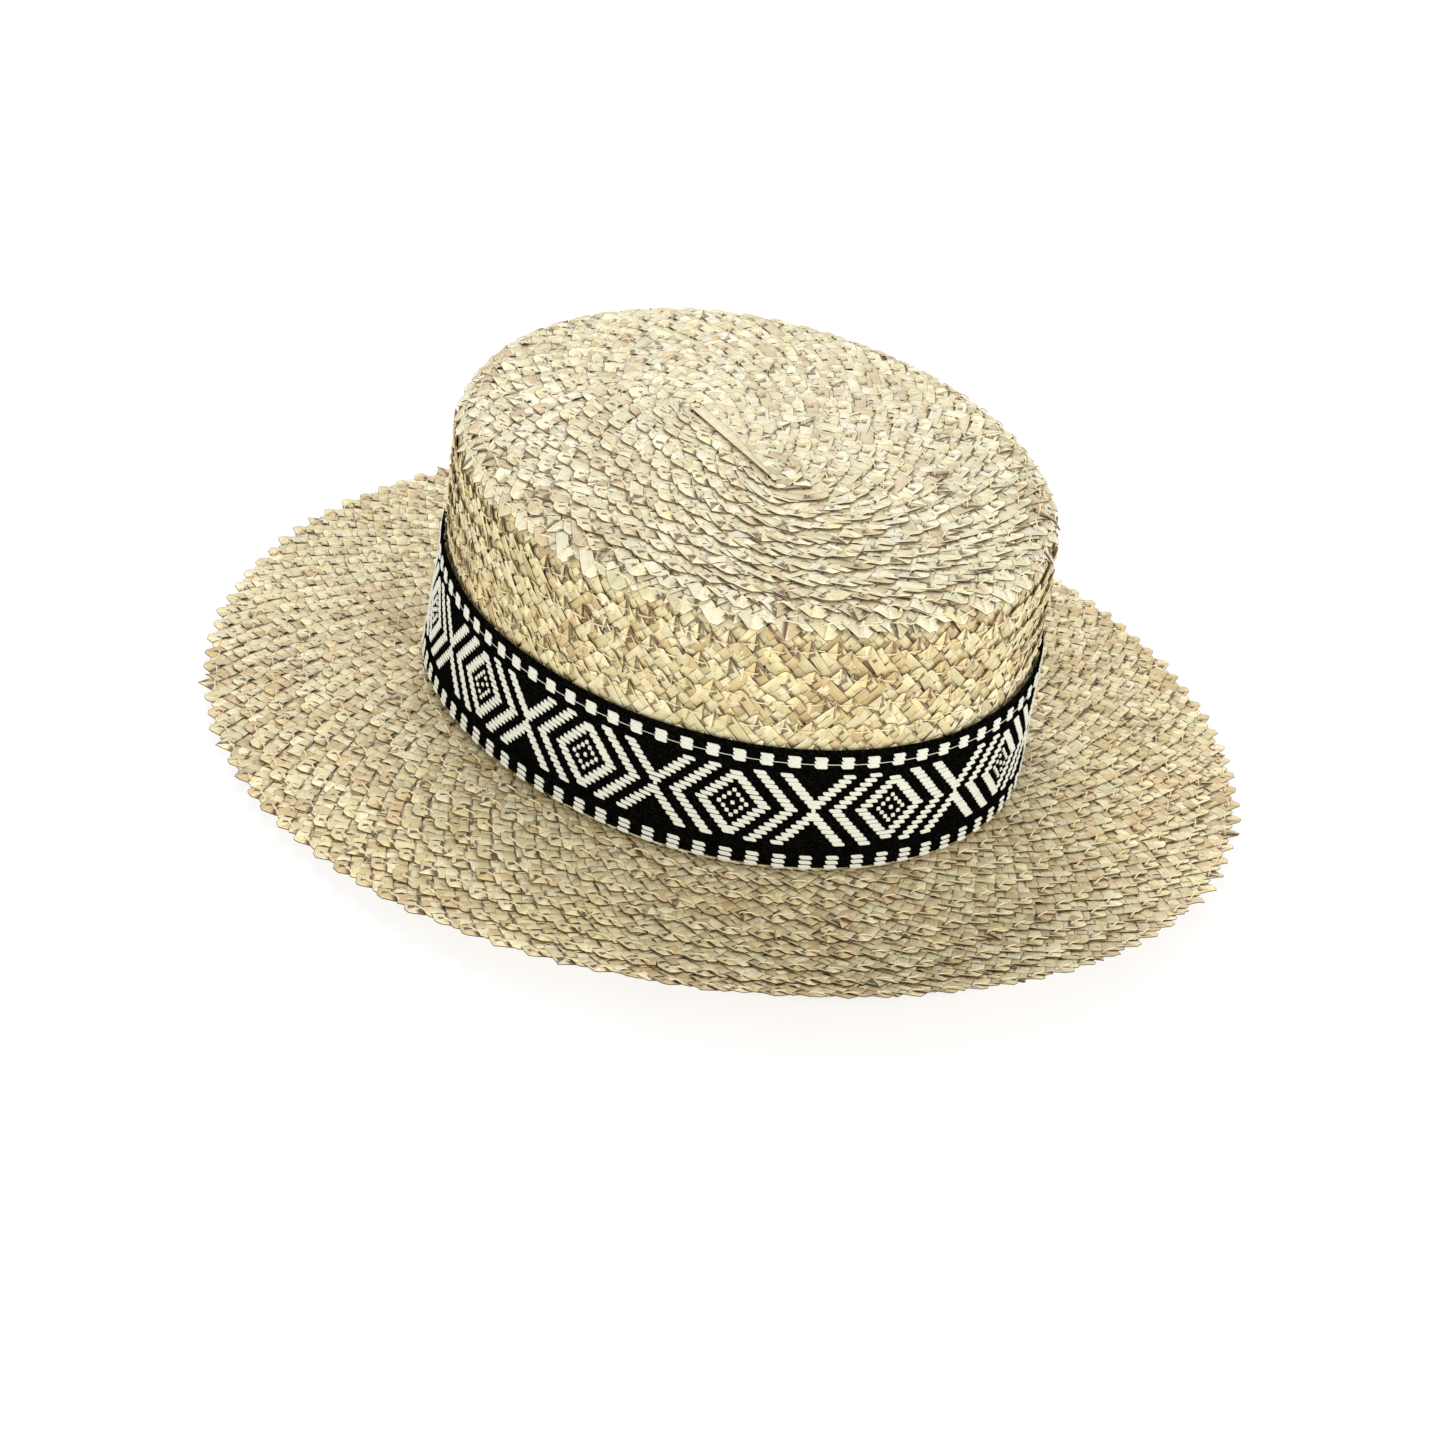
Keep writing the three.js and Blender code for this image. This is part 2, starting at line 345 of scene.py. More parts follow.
def crown_skin(angle, along, outset):
    """Points of the crown's skin: the wall up to WALL_TOP, then the shoulder's quarter turn."""
    share = np.minimum(along / WALL_TOP, 1.0)
    turn = np.maximum(along - WALL_TOP, 0.0) / SHOULDER_RADIUS
    reach = outset * np.cos(turn) - (1.0 - np.cos(turn)) * SHOULDER_RADIUS
    x = (mix(HEAD_HALF_WIDTH, TIP_HALF_WIDTH, share) + reach) * np.cos(angle)
    y = (mix(HEAD_HALF_LENGTH, TIP_HALF_LENGTH, share) + reach) * np.sin(angle)
    height = np.minimum(along, WALL_TOP) + (SHOULDER_RADIUS + outset) * np.sin(turn)
    lean = share * (TIP_SLOPE_X * x + TIP_SLOPE_Y * y)
    return stack(x + share * TIP_SHIFT_X, y + share * TIP_SHIFT_Y, height + lean)


def tip_ring(angle, ring):
    """Plan of a ring of the flat tip: 0 is the slit, 1 the start row's edge, the last the shoulder's top."""
    share = max(ring - 1, 0) / (FLAT_TIP_ROWS - 1)
    middle = mix(SLIT_X + (START_ROW_WIDTH - START_ROW_OVERHANG) / 2, 0.0, share)
    half_width = mix((START_ROW_WIDTH + START_ROW_OVERHANG) / 2, TIP_HALF_WIDTH - SHOULDER_RADIUS, share)
    half_length = mix(SLIT_HALF_LENGTH + START_ROW_OVERHANG, TIP_HALF_LENGTH - SHOULDER_RADIUS, share)
    squareness = mix(0.6, 1.0, share)
    if ring == 0:
        middle, half_width, half_length, squareness = SLIT_X, SLIT_HALF_GAP, SLIT_HALF_LENGTH, 0.5
    cosine = np.cos(angle)
    x = middle + half_width * np.sign(cosine) * np.abs(cosine) ** squareness
    return stack(x, half_length * np.sin(angle))


def tip_skin(row, angle, depth, lift):
    """Points of a tip row, so far inwards from its free edge. The last rows start down on the shoulder."""
    inward = depth
    on_shoulder = None
    if row > FLAT_TIP_ROWS:
        start_turn = SHOULDER_ROW_TURNS[row - FLAT_TIP_ROWS - 1]
        on_shoulder = crown_skin(angle, WALL_TOP + SHOULDER_RADIUS * start_turn + depth, lift)
        inward = depth - SHOULDER_RADIUS * (math.pi / 2 - start_turn)
    edge = tip_ring(angle, min(row, FLAT_TIP_ROWS))
    towards = tip_ring(angle, 0) - edge
    span = np.linalg.norm(towards, axis=-1)
    if row == 1:
        room = np.where(np.cos(angle) > 0.0, span, 1.0)
        inward = room - soft_rest(room - inward)
    plan = edge + towards * (inward / span)[..., None]
    height = WALL_TOP + SHOULDER_RADIUS + lift
    height = height + TIP_SLOPE_X * plan[..., 0] + TIP_SLOPE_Y * plan[..., 1]
    flat = stack(plan[..., 0] + TIP_SHIFT_X, plan[..., 1] + TIP_SHIFT_Y, height)
    if on_shoulder is None:
        return flat
    return np.where((inward < 0.0)[..., None], on_shoulder, flat)


def soft_rest(room, softness=0.0015):
    """The room that is left, eased so that it never falls below nothing."""
    return softness * np.logaddexp(0.0, room / softness)


def side_skin(row, angle, depth, lift):
    """Points of a row of the crown's side, so far down from its free edge."""
    top = WALL_LAST_EDGE - (WALL_ROWS - row) * WALL_ROW_PITCH
    along = soft_rest(top - depth - CORNER_ROOM) + CORNER_ROOM
    return crown_skin(angle, along, lift)


def rim_lift(angle):
    """How far the rim is lifted at an angle: most at the front, less at the back, and hardly at the sides."""
    facing = np.cos(angle - LIFT_FACING)
    highest = np.where(facing > 0.0, LIFT_FRONT, LIFT_BACK)
    return LIFT_SIDE + (highest - LIFT_SIDE) * np.abs(facing) ** 3


def brim_skin(row, angle, depth, lift):
    """Points of a brim row, so far inwards from its free edge, square to the head oval."""
    normal = stack(np.cos(angle) / HEAD_HALF_WIDTH, np.sin(angle) / HEAD_HALF_LENGTH)
    normal = normal / np.linalg.norm(normal, axis=-1, keepdims=True)
    width = BRIM_WIDTH + BRIM_EXTRA_AT_SIDES * np.cos(2 * angle)
    out = SEAM_GAP + row / BRIM_ROWS * (width - SEAM_GAP) - depth
    out = soft_rest(out + CORNER_ROOM) - CORNER_ROOM
    lifted = np.maximum(out / width - LEVEL_SHARE, 0.0) / (1 - LEVEL_SHARE)
    return stack(
        HEAD_HALF_WIDTH * np.cos(angle) + out * normal[..., 0],
        HEAD_HALF_LENGTH * np.sin(angle) + out * normal[..., 1],
        STRAW - BRIM_SINK + lift + rim_lift(angle) * lifted * lifted,
    )


def tip_lift(row, plait, angle, depth):
    """Height of a tip row above the skin. Right of the slit the start row stays up instead of sinking."""
    if row > FLAT_TIP_ROWS:
        sinking = plait.edge_height - plait.row_drop * depth / SHOULDER_ROW_PITCH
        return sinking + (LAST_TIP_EDGE_LIFT * smooth(0.006, 0.001, depth) if row == TIP_ROWS else 0.0)
    if row > 1:
        return plait.edge_height - plait.row_drop * depth / TIP_ROW_PITCH
    sinking = plait.edge_height - plait.row_drop * np.minimum(depth / TIP_ROW_PITCH, 1.0)
    on_top = plait.edge_height + 0.0001 * np.ones_like(depth)
    return mix(sinking, on_top, smooth(-0.15, 0.3, np.cos(angle)))


def side_lift(row, plait, angle, depth):
    """Height of a side row above the skin. The two uppermost are tucked under the tip."""
    tucked = {WALL_ROWS - 1: 0.0003, WALL_ROWS: 0.0008}.get(row, 0.0)
    return plait.edge_height - tucked - plait.row_drop * depth / WALL_ROW_PITCH


def brim_lift(row, plait, angle, depth):
    return plait.edge_height - plait.row_drop * depth / BRIM_ROW_PITCH


class Row:
    """One row's way round the hat: its length, its number of teeth, and the angle at each place along it."""

    def __init__(self, skin, number, tooth_pitch, span, reach, tooth_lift, way):
        self.skin = lambda angle, depth, lift: skin(number, angle, depth, lift)
        self.span = span
        self.tooth_lift = tooth_lift
        self.middle = reach + span / 2
        angles = ROW_START_TURN * number + way * np.linspace(0.0, FULL_TURN, 1441)
        curve = self.skin(angles, np.full_like(angles, self.middle), 0.0)
        lengths = np.concatenate([[0.0], np.cumsum(np.linalg.norm(np.diff(curve, axis=0), axis=-1))])
        self.girth = lengths[-1]
        self.teeth = 2 * STRANDS * max(round(self.girth / (2 * STRANDS * tooth_pitch)), 2)
        self.pitch = self.girth / self.teeth
        self.angle_at = lambda along: np.interp(np.mod(along, self.girth), lengths, angles)


def tube_quads(sections, corners, closed=False):
    """Quads that join rings of corners, section after section, and back to the first where it is closed."""
    rings = np.arange(sections)[:, None] * corners + np.arange(corners)[None, :]
    here = rings if closed else rings[:-1]
    ahead = np.roll(rings, -1, axis=0)[:len(here)]
    return stack(here, ahead, np.roll(ahead, -1, axis=1), np.roll(here, -1, axis=1)).reshape(-1, 4)


def crossing_heights(rng, legs, long_share):
    """Height of each leg at its four crossings: over and under in turn, and some straws over two at once.

    At a crossing, a leg that leaves the free edge meets one that comes back to it, and one of them is on top.
    """
    count = STRANDS * legs // 2
    early_long, late_long = rng.random((2, count)) < long_share
    leaving = stack(np.ones(count), np.where(early_long, 1.0, -1.0), np.where(late_long, -1.0, 1.0), -1.0)
    coming = -np.stack([np.roll(leaving[:, 4 - crossing], -crossing) for crossing in (1, 2, 3, 4)], axis=1)
    both = np.stack([leaving, coming], axis=1).reshape(legs // 2, STRANDS, 2, 4)
    return both.transpose(1, 0, 2, 3).reshape(STRANDS, legs, 4)


class StrandLegs:
    """The straight legs of a row's strands, from each fold to the next, in arrays of strands by legs.

    Every second leg leaves the free edge, and every second tooth there is a large one.
    """

    def __init__(self, plait, rng, row):
        self.count = 2 * row.teeth // STRANDS
        self.shape = (STRANDS, self.count)
        number = np.arange(self.count)[None, :]
        strand = np.arange(STRANDS)[:, None]
        self.leaves_free_edge = np.broadcast_to(number % 2 == 0, self.shape)
        self.large = self.leaves_free_edge & ((strand + number // 2) % 2 == 0)
        self.small = self.leaves_free_edge & ~self.large
        folds_s = (strand + STRANDS / 2 * number) * row.pitch + rng.normal(0.0, plait.unevenness, self.shape)
        folds_t = np.where(self.leaves_free_edge, row.span / 2, -row.span / 2)
        folds_t = folds_t + rng.normal(0.0, plait.unevenness, self.shape)
        self.folds = stack(folds_s, folds_t - np.where(self.small, plait.small_tooth_drop, 0.0))
        ends = np.roll(self.folds, -1, axis=1)
        ends[:, -1, 0] += row.girth
        self.length = np.linalg.norm(ends - self.folds, axis=-1)
        self.ahead = (ends - self.folds) / self.length[..., None]
        self.beside = stack(-self.ahead[..., 1], self.ahead[..., 0])


def leg_edges(rng, row, legs, width, blunt, raised):
    """The left and the right edge of each leg, laid flat, with a point for each of its sections."""
    outside = legs.leaves_free_edge
    half_width = width / 2 * np.where(outside, 0.98, 1.04)
    steepness = row.span / (STRANDS / 2 * row.pitch)
    turn_in = half_width * steepness
    corner = half_width * math.hypot(1.0, steepness)
    reach = corner * np.where(blunt, rng.uniform(*BLUNT_REACH, legs.shape), 1.0)
    reach = reach + np.where(outside, rng.normal(0.0, 0.00025, legs.shape), 0.0)
    reach = reach + np.where(raised, rng.uniform(*RAISED_REACH, legs.shape), 0.0)
    tip = stack(rng.normal(0.0, 0.0004, legs.shape), reach)
    inner_corner = stack(0.0 * corner, corner)

    outer_cut = np.where(blunt, rng.uniform(*BLUNT_CUT, legs.shape) * turn_in, FOLD_CUT)
    outer = (outer_cut - turn_in, legs.length + turn_in - np.roll(outer_cut, -1, axis=1))
    inner = (FOLD_CUT + turn_in, legs.length - turn_in - FOLD_CUT)
    left_ends = np.where(outside, (outer[0], inner[1]), (inner[0], outer[1]))
    right_ends = np.where(outside, (inner[0], outer[1]), (outer[0], inner[1]))
    left_fold = np.where(outside[..., None], tip, inner_corner)
    right_fold = np.where(outside[..., None], -inner_corner, -tip)
    sideways = legs.beside * half_width[..., None]
    edges = []
    both_sides = ((left_ends, left_fold, sideways), (right_ends, right_fold, -sideways))
    for (begin, end), fold, off_middle in both_sides:
        along = np.stack([begin, *(place * legs.length for place in CROSSING_PLACES), end], axis=2)
        run = legs.folds[:, :, None] + legs.ahead[:, :, None] * along[..., None] + off_middle[:, :, None]
        edges.append(np.concatenate([(legs.folds + fold)[:, :, None], run], axis=2))
    return edges


def leg_heights(plait, rng, row, legs, blunt, raised, long_share):
    """How high each section of each leg lies, and how far it tilts to one side."""
    height = np.full((*legs.shape, SECTIONS), 0.9)
    height[:, :, PAST_FOLD] = np.where(blunt, 0.3, -0.9)
    height[:, :, CROSSINGS] = crossing_heights(rng, legs.count, long_share)
    height = height * plait.weave_height + rng.normal(0.0, 0.00005, height.shape)
    lifted = rng.gamma(1.4, row.tooth_lift / 1.4, legs.shape) + np.where(raised, RAISED_LIFT, 0.0)
    lifted = np.where(legs.leaves_free_edge, np.minimum(lifted, HIGHEST_LIFT), 0.0)
    lifted = lifted - np.where(legs.small, SMALL_TOOTH_SINK, 0.0)
    next_lifted = np.roll(lifted, -1, axis=1)
    height[:, :, AT_FOLD] += lifted
    height[:, :, LAST_CROSSING] += 0.3 * next_lifted
    height[:, :, BEFORE_FOLD] += 0.85 * next_lifted
    tilt = np.zeros_like(height)
    tilt[:, :, PAST_FOLD] = np.where(legs.large, LARGE_TOOTH_TILT, 0.0)
    tilt[:, :, CROSSINGS] = rng.normal(0.0, 0.00010, (*legs.shape, len(CROSSING_PLACES)))
    return height, tilt


def plait_row(plait, rng, row, blunt_share, long_share, lift_at):
    """One closed row of five-strand plait: its points, quads and, for each point, two lots of straw facts.

    blunt_share of the teeth have no sharp tip, and long_share of the crossings are passed over by a straw
    that also lies on top at the next one.
    """
    legs = StrandLegs(plait, rng, row)
    tone, width, seed = lay_splints(rng, legs.count, row.pitch)
    blunt = rng.random(legs.shape) < blunt_share
    raised = (rng.random(legs.shape) < plait.raised_share) & legs.leaves_free_edge & ~blunt
    left, right = leg_edges(rng, row, legs, width, blunt, raised)
    height, tilt = leg_heights(plait, rng, row, legs, blunt, raised, long_share)

    # Four corners round a strand, as a share of its half width to the left and of its thickness upwards.
    across = np.array([-1.0, 1.0, 1.0, -1.0])
    through = np.array([0.5, 0.5, -0.5, -0.5])
    centre = (left + right) / 2
    spread = (left - right) / 2
    flat = centre[:, :, :, None, :] + spread[:, :, :, None, :] * across[:, None]
    rise = height[..., None] + tilt[..., None] * across + through * plait.splint_thickness
    depth = row.middle - flat[..., 1]
    angle = row.angle_at(flat[..., 0])
    points = row.skin(angle, depth, lift_at(angle, depth) + rise)

    along_leg = np.linspace(0.0, 0.87, SECTIONS)
    run = np.cumsum(legs.length, axis=1)[:, :, None] + along_leg * legs.length[..., None]
    run = run[..., None] + 3.0 * seed[:, :, None, None]
    # From below, a straw that dives under lies on top, so the painted shade of a dive goes with it, and a fold
    # gets no painted shade from either side.
    seen_height = height[..., None] / plait.weave_height * np.sign(through)
    seen_height[:, :, [AT_FOLD, BEFORE_FOLD]] = np.abs(seen_height[:, :, [AT_FOLD, BEFORE_FOLD]])
    # The third part of the grain is the seen height, which sets the painted shade where a straw dives under
    # others.
    grain = stack(run, across, seen_height)
    # Painted highlight: the faces at a tooth's fold are made paler.
    fold_highlight = np.zeros_like(height)
    fold_highlight[:, :, AT_FOLD] = np.where(legs.leaves_free_edge, 1.0, 0.0)
    fold_highlight[:, :, LAST_CROSSING] = np.where(legs.leaves_free_edge, 0.0, 0.35)
    fold_highlight[:, :, BEFORE_FOLD] = np.where(legs.leaves_free_edge, 0.0, 1.0)
    leg_shade = rng.normal(0.0, 1.0, legs.shape)
    facts = stack(tone[:, :, None], leg_shade[:, :, None], fold_highlight)
    facts = facts[:, :, :, None, :] + np.zeros_like(grain)

    one_strand = tube_quads(legs.count * SECTIONS, 4, closed=True)
    quads = [one_strand + strand * legs.count * SECTIONS * 4 for strand in range(STRANDS)]
    return points.reshape(-1, 3), np.concatenate(quads), grain.reshape(-1, 3), facts.reshape(-1, 3)


def lay_splints(rng, legs, pitch):
    """For each leg of each strand, the tone, width and grain seed of the straw that it is made of."""
    splint = np.cumsum(rng.random((STRANDS, legs)) < NEW_STRAW_CHANCE, axis=1)
    count = splint.max() + 1
    pick = lambda values: np.take_along_axis(values, splint, axis=1)
    tone = pick(rng.random((STRANDS, count)))
    width = pick(np.clip(rng.normal(STRAW_WIDTH, 0.05, (STRANDS, count)), 0.72, 0.9)) * pitch
    seed = pick(rng.random((STRANDS, count)))
    return tone, width, seed


def mesh_piece(name, points, quads, facts, finish):
    """One mesh object from point and quad arrays, with vector facts stored on its points."""
    mesh = bpy.data.meshes.new(name)
    mesh.vertices.add(len(points))
    mesh.vertices.foreach_set("co", np.asarray(points, np.float32).ravel())
    mesh.loops.add(quads.size)
    mesh.loops.foreach_set("vertex_index", quads.astype(np.int32).ravel())
    mesh.polygons.add(len(quads))
    mesh.polygons.foreach_set("loop_start", np.arange(len(quads), dtype=np.int32) * 4)
    mesh.update(calc_edges=True)
    mesh.polygons.foreach_set("use_smooth", np.ones(len(quads), bool))
    for fact, values in facts.items():
        layer = mesh.attributes.new(fact, "FLOAT_VECTOR", "POINT")
        layer.data.foreach_set("vector", np.asarray(values, np.float32).ravel())
    mesh.set_sharp_from_angle(angle=SHARP_TURN)
    mesh.validate()
    piece = bpy.data.objects.new(name, mesh)
    bpy.context.scene.collection.objects.link(piece)
    piece.data.materials.append(finish)
    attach(piece, "root")
    return piece


def plaited_piece(name, plait, rows, lift_at, finish, blunt_share, long_share, seed):
    """One mesh of all the plait rows of a part of the hat."""
    rng = np.random.default_rng(seed)
    gathered = []
    first = 0
    for number, row in rows.items():
        row_lift = lambda angle, depth, number=number: lift_at(number, plait, angle, depth)
        points, quads, grain, facts = plait_row(plait, rng, row, blunt_share, long_share, row_lift)
        gathered.append((points, quads + first, grain, facts))
        first += len(points)
    points, quads, grain, facts = (np.concatenate(part) for part in zip(*gathered))
    return mesh_piece(name, points, quads, {"grain": grain, "straw": facts}, finish)


def seam_piece(name, plait, rows, lift_at, finish, seed):
    """The sewing thread of each row: a thin tube that comes up before each large tooth and dives after it."""
    rng = np.random.default_rng(seed)
    gathered = []
    first = 0
    for number, row in rows.items():
        stitches = row.teeth // 2
        way_along = np.array([-0.0032, -0.0028, -0.0013, 0.0004, 0.0009, 0.0012])
        above_plait = np.array([-0.0006, 0.00015, 0.00030, 0.00022, -0.0003, -0.0010])
        place = 2 * np.arange(stitches)[:, None] * row.pitch + way_along
        place = place + rng.normal(0.0, 0.0003, (stitches, 1))
        slope = rng.normal(0.0, 0.12, (stitches, 1)) * (way_along + 0.001)
        depth = plait.seam_depth + rng.normal(0.0, 0.0004, (stitches, 1)) + slope
        rise = plait.weave_height + SEAM_HEIGHT + above_plait + 0.0 * depth
        along, depth, rise = place.ravel(), depth.ravel(), rise.ravel()
        angle = row.angle_at(along)
        lift = lift_at(number, plait, angle, depth) + rise
        centre = row.skin(angle, depth, lift)
        above = row.skin(angle, depth, lift + 0.001) - centre
        above /= np.linalg.norm(above, axis=-1, keepdims=True)
        ahead = np.roll(centre, -1, axis=0) - np.roll(centre, 1, axis=0)
        ahead /= np.linalg.norm(ahead, axis=-1, keepdims=True)
        beside = np.cross(above, ahead)
        turn = np.arange(4) * math.pi / 2
        ring = above[:, None] * np.sin(turn)[:, None] - beside[:, None] * np.cos(turn)[:, None]
        points = centre[:, None] + ring * plait.thread_radius
        gathered.append((points.reshape(-1, 3), tube_quads(len(centre), 4, closed=True) + first))
        first += len(centre) * 4
    points, quads = (np.concatenate(part) for part in zip(*gathered))
    return mesh_piece(name, points, quads, {}, finish)


def slit_straw(plait, finish):
    """The smooth straw along the right side of the slit: one flat strip that widens towards the back."""
    sections = 15
    share = np.linspace(0.0, 1.0, sections)[:, None]
    y = mix(*SLIT_STRAW_ENDS, share) * SLIT_HALF_LENGTH
    width = mix(*SLIT_STRAW_WIDTHS, smooth(0.0, 0.7, share))
    to_right = np.array([0.0, 1.0, 1.0, 0.0])
    upwards = np.array([0.5, 0.5, -0.5, -0.5])
    x = SLIT_X + 2 * SLIT_HALF_GAP + width * to_right
    above_skin = plait.edge_height + 2 * plait.weave_height + upwards * plait.splint_thickness
    height = WALL_TOP + SHOULDER_RADIUS + above_skin + TIP_SLOPE_X * x + TIP_SLOPE_Y * y
    points = stack(x + TIP_SHIFT_X, y + TIP_SHIFT_Y, height)
    walls = tube_quads(sections, 4)[:, ::-1]
    last = 4 * (sections - 1)
    quads = np.concatenate([walls, np.array([[3, 2, 1, 0], [last, last + 1, last + 2, last + 3]])])
    # The third part of the grain keeps painted shade off this straw, and the last part of its facts gives it
    # no painted highlight of a fold.
    grain = stack(y, 2 * to_right - 1, 0.9).reshape(-1, 3)
    facts = stack(0.45, -0.8, 0.0 * x).reshape(-1, 3)
    return mesh_piece("slit_straw", points.reshape(-1, 3), quads, {"grain": grain, "straw": facts}, finish)


def band_off_wall(angle, share):
    """How far the band's inner face stands off the wall, counted on past a whole turn at the lap."""
    end = BAND_LAP_AT + FULL_TURN
    lapped = smooth(end - BAND_RISE_TURN, end, angle)
    across = (np.mod(angle, FULL_TURN) - BAND_BULGE_AT) / BAND_BULGE_TURN
    bulge = BAND_BULGE * np.exp(-across * across) * (1 - np.clip(share, 0.0, 1.0)) ** 1.5
    return BAND_OFF_WALL + lapped * BAND_LAP_LIFT + bulge


def band_arcs():
    """Angles round the crown and the band's length up to each of them, from angle 0."""
    angles = np.linspace(0.0, BAND_LAP_AT + FULL_TURN + BAND_LAP_TURN, 1801)
    middle = crown_skin(angles, BAND_FOOT + BAND_HEIGHT / 2, BAND_OFF_WALL + 0.001)
    steps = np.linalg.norm(np.diff(middle, axis=0), axis=-1)
    return angles, np.concatenate([[0.0], np.cumsum(steps)])


def band_point(arcs, arc, height, proud):
    """Points so far along the band, up from its lower edge, and out from its inner face."""
    angles, lengths = arcs
    angle = np.interp(arc, lengths, angles)
    outset = band_off_wall(angle, height / BAND_HEIGHT) + proud
    return crown_skin(angle, BAND_FOOT + height, outset)


def band_cloth(band, arcs, finish):
    """The strip of cloth: a closed sheet with a rounded edge above and below."""
    angles, lengths = arcs
    first = np.interp(BAND_LAP_AT, angles, lengths)
    columns = 420
    arc = np.linspace(first, lengths[-1], columns)
    rows = 15
    up = np.linspace(0.0, BAND_HEIGHT, rows)
    up[1] = BAND_EDGE_ROUND
    up[-2] = BAND_HEIGHT - BAND_EDGE_ROUND
    inner = np.full(rows, BAND_INNER_GAP)
    outer = inner + band.thickness
    outer[[0, -1]] = inner[[0, -1]] + 0.6 * band.thickness
    heights = np.concatenate([up, up[::-1]])
    proud = np.concatenate([outer, inner])
    rng = np.random.default_rng(31)
    ripple = wander(rng, arc, 0.018) * BAND_EDGE_RIPPLE
    edge = ripple[:, None] * (heights / BAND_HEIGHT)[None, :] ** 2
    swell = wander(rng, arc, 0.03)[:, None] * BAND_SWELL * np.sin(heights / BAND_HEIGHT * math.pi)[None, :]
    points = band_point(arcs, arc[:, None], heights[None, :] + edge, proud[None, :] + np.abs(swell))
    corners = len(heights)
    ends = []
    for index in range(rows - 1):
        ring = np.array([index, index + 1, corners - 2 - index, corners - 1 - index])
        ends.append(ring)
        ends.append((columns - 1) * corners + ring[::-1])
    quads = np.concatenate([tube_quads(columns, corners), np.array(ends)])
    cloth = stack(arc[:, None], heights[None, :], proud[None, :]).reshape(-1, 3)
    return mesh_piece("hat_band_cloth", points.reshape(-1, 3), quads, {"cloth": cloth}, finish)


def wander(rng, places, spacing):
    """A smooth random line with a value of about -1 to 1 at each place."""
    count = int((places.max() - places.min()) / spacing) + 4
    knots = rng.uniform(-1.0, 1.0, count)
    where = (places - places.min()) / spacing
    base = np.floor(where).astype(int)
    return mix(knots[base], knots[base + 1], smooth(0.0, 1.0, where - base))


def charted(column, row):
    """Whether the chart has a pale bar there. Columns count from the middle of the nearest diamond."""
    ring = abs(column) + abs(row)
    if abs(column) > COLUMNS_PER_REPEAT // 2 or abs(row) > FIGURE_ROWS:
        return False
    return ring in OUTER_RINGS + SPECK_RINGS or (ring in INNER_RINGS and abs(row) < FIGURE_ROWS)


def bars_of_repeat(band):
    """Bars of one repeat: middle column, columns long, height from the figure's middle, sag, fatness."""
    half = COLUMNS_PER_REPEAT // 2
    bars = []
    for row in range(-FIGURE_ROWS, FIGURE_ROWS + 1):
        run = []
        for column in range(-half - BLOCK_COLUMNS, half + BLOCK_COLUMNS + 1):
            nearest = (column + half) % COLUMNS_PER_REPEAT - half
            if charted(nearest, row):
                run.append(column)
                continue
            if run and -half < (run[0] + run[-1]) / 2 <= half:
                bars.append(((run[0] + run[-1]) / 2, len(run), row * band.row_pitch, 0.0, 1.0))
            run = []
    for block in range(-half + BLOCK_COLUMNS, half + 1, BLOCK_COLUMNS):
        for row in UPPER_BLOCK_ROWS:
            bars.append((block, BLOCK_COLUMNS / 2, row * band.row_pitch, UPPER_BLOCK_SAG, 1.0))
        bars.append((block - BLOCK_COLUMNS / 2, 4, FLOAT_ROW * band.row_pitch, 0.0, FLOAT_FATNESS))
        for row in LOWER_BLOCK_ROWS:
            bars.append((block, BLOCK_COLUMNS / 2, row * band.row_pitch, 0.0, 0.95))
    return bars


def band_bars(band, arcs, finish):
    """All pale bars of the band as one mesh of closed, rounded, slightly slanted bars."""
    angles, lengths = arcs
    rng = np.random.default_rng(47)
    column_width = band.repeat / COLUMNS_PER_REPEAT
    first = np.interp(BAND_LAP_AT, angles, lengths)
    last = lengths[-1]
    first_repeat = math.floor((first - DIAMOND_ARC) / band.repeat)
    last_repeat = math.ceil((last - DIAMOND_ARC) / band.repeat)
    middles = []
    for turn in range(first_repeat, last_repeat + 1):
        for column, long, height, sag, fatness in bars_of_repeat(band):
            arc = DIAMOND_ARC + turn * band.repeat + column * column_width
            half_long = 0.96 * long * column_width / 2
            if first + half_long + 0.001 < arc < last - half_long - 0.001:
                middles.append((arc, half_long, FIGURE_MIDDLE + height, sag, fatness))
    arc, half_long, height, sag, fatness = (np.array(part)[:, None, None] for part in zip(*middles))
    count = len(middles)
    half_high = band.row_pitch * 0.5 * fatness * rng.uniform(0.96, 1.06, (count, 1, 1))
    stations = np.array([-1.0, -0.93, -0.72, 0.72, 0.93, 1.0])[None, :, None]
    fullness = np.array([0.25, 0.72, 1.0, 1.0, 0.72, 0.25])[None, :, None]
    sides = 6
    turn = (np.arange(sides) * FULL_TURN / sides)[None, None, :]
    y = half_high * fullness * np.cos(turn)
    z = band.bar_proud * np.sqrt(fatness) * fullness * np.sin(turn) * rng.uniform(0.85, 1.15, (count, 1, 1))
    slant = np.where(half_long > 0.001, 0.5, 0.1)
    x = half_long * stations - slant * y + rng.normal(0.0, 0.00006, (count, 1, 1))
    arched = sag * (stations * stations - 0.5)
    proud = BAND_INNER_GAP + band.thickness + z
    points = band_point(arcs, arc + x, height + y + arched + rng.normal(0.0, 0.00004, (count, 1, 1)), proud)
    strand = stack(x + 0.0 * turn, np.cos(turn) + 0.0 * x, rng.random((count, 1, 1)))
    bar_points = stations.size * sides
    start_cap = np.array([[0, 1, 2, 3], [0, 3, 4, 5]])
    end_cap = bar_points - sides + start_cap[:, ::-1]
    one = np.concatenate([tube_quads(stations.size, sides), start_cap, end_cap])
    quads = (one[None] + bar_points * np.arange(count)[:, None, None]).reshape(-1, 4)
    facts = {"strand": strand.reshape(-1, 3)}
    return mesh_piece("hat_band_figure", points.reshape(-1, 3), quads, facts, finish)


